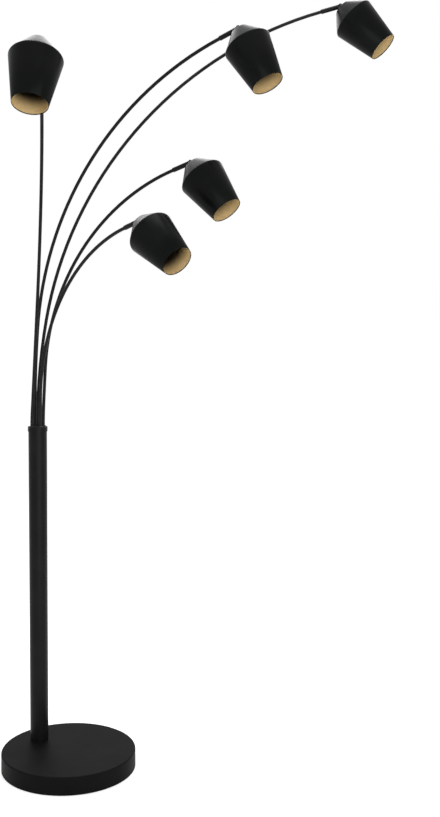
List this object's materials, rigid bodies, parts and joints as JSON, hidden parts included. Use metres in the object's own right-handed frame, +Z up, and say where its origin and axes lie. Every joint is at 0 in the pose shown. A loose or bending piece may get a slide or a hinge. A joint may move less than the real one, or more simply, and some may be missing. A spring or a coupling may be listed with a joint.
{
  "type": "tree floor lamp",
  "caption": "Floor lamp: a round weighted base and an upright pole holding slender arched arms that swivel, each with a tilting conical spotlight shade, black outside and gold inside.",
  "frame": {"origin": "centre of the round base's underside, on the floor", "axes": "+Z up along the pole; +X from the pole towards the base's centre, the side the arms lean over; +Y to the left of that"},
  "size_m": [0.8194, 1.0149, 1.9911],
  "materials": {
    "base_paint": "satin black powder coat",
    "pole_paint": "satin black powder coat",
    "collar_paint": "satin black powder coat",
    "arm_paint": "satin black powder coat",
    "sleeve_paint": "satin black powder coat",
    "knuckle_paint": "satin black powder coat",
    "screw_black": "blackened steel",
    "shade_paint": "satin black outside, gold paint inside",
    "cast_iron": "rough cast",
    "zinc_plate": "zinc plated sheet",
    "plated_steel": "zinc plated",
    "plain_steel": "turned",
    "felt": "pressed felt",
    "grommet_rubber": "matte",
    "terminal_plastic": "moulded",
    "bushing_plastic": "moulded, black",
    "holder_plastic": "moulded, black",
    "opal_glass": "opal white"
  },
  "bodies": {
    "stand": {"base_cover": "base_paint", "base_weight": "cast_iron", "base_plate": "zinc_plate", "base_felt": "felt", "base_screws": "plated_steel", "cord_grommet": "grommet_rubber", "terminal_block": "terminal_plastic", "stud_washer": "plated_steel", "stud_nut": "plated_steel", "stud": "plated_steel", "pole_plug": "plain_steel", "pole": "pole_paint", "collar": "collar_paint", "collar_set_screw": "plated_steel", "arm_bushings": "bushing_plastic", "guide_plate": "plain_steel"},
    "arm_unit_1": {"arm_1": "arm_paint", "stop_ring_1": "plated_steel", "sleeve_1": "sleeve_paint"},
    "shade_unit_1": {"knuckle_1": "knuckle_paint", "pivot_screw_1": "screw_black", "shade_1": "shade_paint", "lampholder_1": "holder_plastic", "bulb_1": "opal_glass"},
    "arm_unit_2": {"arm_2": "arm_paint", "stop_ring_2": "plated_steel", "sleeve_2": "sleeve_paint"},
    "shade_unit_2": {"knuckle_2": "knuckle_paint", "pivot_screw_2": "screw_black", "shade_2": "shade_paint", "lampholder_2": "holder_plastic", "bulb_2": "opal_glass"},
    "arm_unit_3": {"arm_3": "arm_paint", "stop_ring_3": "plated_steel", "sleeve_3": "sleeve_paint"},
    "shade_unit_3": {"knuckle_3": "knuckle_paint", "pivot_screw_3": "screw_black", "shade_3": "shade_paint", "lampholder_3": "holder_plastic", "bulb_3": "opal_glass"},
    "arm_unit_4": {"arm_4": "arm_paint", "stop_ring_4": "plated_steel", "sleeve_4": "sleeve_paint"},
    "shade_unit_4": {"knuckle_4": "knuckle_paint", "pivot_screw_4": "screw_black", "shade_4": "shade_paint", "lampholder_4": "holder_plastic", "bulb_4": "opal_glass"},
    "arm_unit_5": {"arm_5": "arm_paint", "stop_ring_5": "plated_steel", "sleeve_5": "sleeve_paint"},
    "shade_unit_5": {"knuckle_5": "knuckle_paint", "pivot_screw_5": "screw_black", "shade_5": "shade_paint", "lampholder_5": "holder_plastic", "bulb_5": "opal_glass"}
  },
  "joints": [
    {"name": "arm_swivel_1", "type": "hinge", "parent": "stand", "child": "arm_unit_1", "pos_m": [-0.11082, -0.01517, 0.8945], "axis": [0, 0, 1], "range_deg": [-40, 15]},
    {"name": "shade_tilt_1", "type": "hinge", "parent": "arm_unit_1", "child": "shade_unit_1", "pos_m": [0.26077, -0.37705, 1.75674], "axis": [0.7577, 0.6443, -0.1038], "range_deg": [-74.2, 15.8]},
    {"name": "arm_swivel_2", "type": "hinge", "parent": "stand", "child": "arm_unit_2", "pos_m": [-0.12017, 0.00582, 0.8945], "axis": [0, 0, 1], "range_deg": [-12, 12]},
    {"name": "shade_tilt_2", "type": "hinge", "parent": "arm_unit_2", "child": "shade_unit_2", "pos_m": [0.44154, 0.0976, 1.85423], "axis": [-0.1208, 0.9874, -0.1022], "range_deg": [-80.2, 9.8]},
    {"name": "arm_swivel_3", "type": "hinge", "parent": "stand", "child": "arm_unit_3", "pos_m": [-0.09918, 0.01517, 0.8945], "axis": [0, 0, 1], "range_deg": [-12, 30]},
    {"name": "shade_tilt_3", "type": "hinge", "parent": "arm_unit_3", "child": "shade_unit_3", "pos_m": [0.31081, 0.09579, 1.55692], "axis": [-0.0925, 0.9923, -0.0825], "range_deg": [-67, 23]},
    {"name": "arm_swivel_4", "type": "hinge", "parent": "stand", "child": "arm_unit_4", "pos_m": [-0.08983, -0.00582, 0.8945], "axis": [0, 0, 1], "range_deg": [-40, 40]},
    {"name": "shade_tilt_4", "type": "hinge", "parent": "arm_unit_4", "child": "shade_unit_4", "pos_m": [0.28301, -0.06962, 1.4076], "axis": [0.1677, 0.9858, 0.0034], "range_deg": [-52.3, 37.7]},
    {"name": "arm_swivel_5", "type": "hinge", "parent": "stand", "child": "arm_unit_5", "pos_m": [-0.105, 0, 0.8945], "axis": [0, 0, 1], "range_deg": [-12, 30]},
    {"name": "shade_tilt_5", "type": "hinge", "parent": "arm_unit_5", "child": "shade_unit_5", "pos_m": [0.5044, 0.47766, 1.97999], "axis": [-0.5024, 0.8016, -0.3239], "range_deg": [-64.7, 25.3]}
  ]
}
